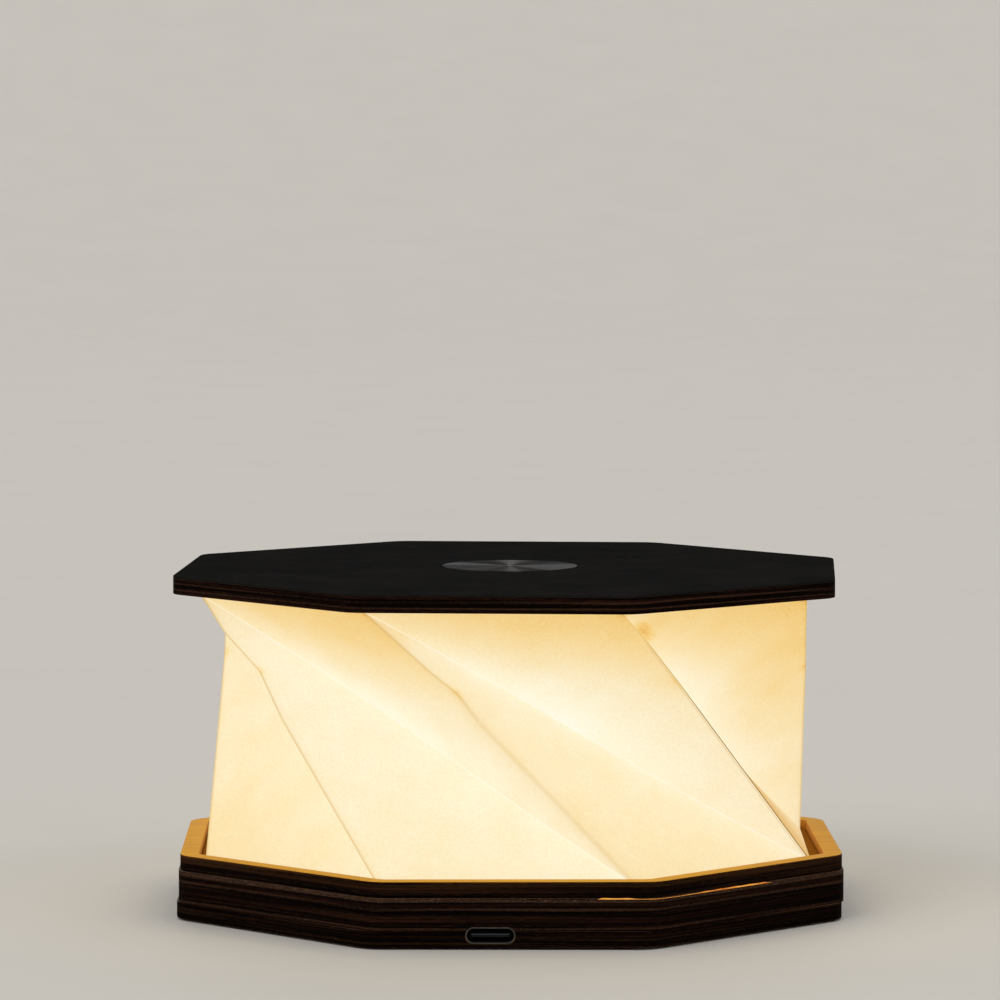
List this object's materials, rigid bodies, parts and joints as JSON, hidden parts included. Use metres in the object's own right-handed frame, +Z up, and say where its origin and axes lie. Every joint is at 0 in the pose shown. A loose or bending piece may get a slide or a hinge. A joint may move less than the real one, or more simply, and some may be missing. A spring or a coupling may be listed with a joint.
{
  "type": "folding table lamp",
  "caption": "Octagonal twist-fold table lamp: plywood base stack, creased paper shade and a thin top plate with an inlaid metal disc that turns as it folds down.",
  "frame": {"origin": "centre of the octagonal base, on the surface that the lamp stands on", "axes": "+Z up along the twist axis; the charging inlet faces -Y; +X to the right seen from the inlet side"},
  "size_m": [0.1222, 0.1222, 0.0625],
  "materials": {
    "silicone": "matte",
    "cover_black": "matte",
    "steel_screw": "satin",
    "ply_dark": "satin",
    "ply_pale": "satin",
    "deck_card": "matte",
    "opal": "satin",
    "board_white": "satin",
    "led": "satin",
    "cell_foil": "satin",
    "foam_tape": "matte",
    "board_green": "satin",
    "nylon": "matte",
    "inlet_steel": "satin",
    "tongue_black": "matte",
    "chip_black": "matte",
    "lead_red": "satin",
    "lead_white": "satin",
    "magnet": "polished",
    "flange_paper": "matte",
    "shade_paper": "matte",
    "face_skin": "matte",
    "spun_metal": "satin"
  },
  "bodies": {
    "base": {"feet": "silicone", "bottom_cover": "cover_black", "cover_screws": "steel_screw", "bottom_frame": "ply_dark", "lower_frame": "ply_dark", "upper_frame": "ply_dark", "rim_frame": "ply_pale", "tray_deck": "deck_card", "diffuser": "opal", "led_board": "board_white", "leds": "led", "led_board_screws": "steel_screw", "cell": "cell_foil", "cell_tape": "foam_tape", "main_board": "board_green", "board_spacers": "nylon", "board_screws": "steel_screw", "inlet_shell": "inlet_steel", "inlet_tongue": "tongue_black", "charge_chip": "chip_black", "driver_chip": "chip_black", "inductor": "chip_black", "cell_socket": "nylon", "led_socket": "nylon", "field_sensor": "chip_black", "cell_leads": "lead_red", "led_leads": "lead_white", "base_magnets": "magnet", "lower_flange": "flange_paper"},
    "shade": {"shade": "shade_paper"},
    "top": {"upper_flange": "flange_paper", "top_plate": "ply_dark", "plate_skin": "face_skin", "metal_disc": "spun_metal", "disc_magnet": "magnet", "plate_magnets": "magnet", "trigger_magnet": "magnet"}
  },
  "joints": [
    {"name": "twist", "type": "hinge", "parent": "base", "child": "shade", "pos_m": [0, 0, 0.0106], "axis": [0, 0, 1], "range_deg": [-21, 0]},
    {"name": "lift", "type": "slide", "parent": "shade", "child": "top", "axis": [0, 0, 1], "range_m": [-0.0467, 0], "deforming": ["shade"]}
  ],
  "couplings": [
    {"joint": "twist", "follows": "lift", "rad_per_m": 7.8484}
  ]
}
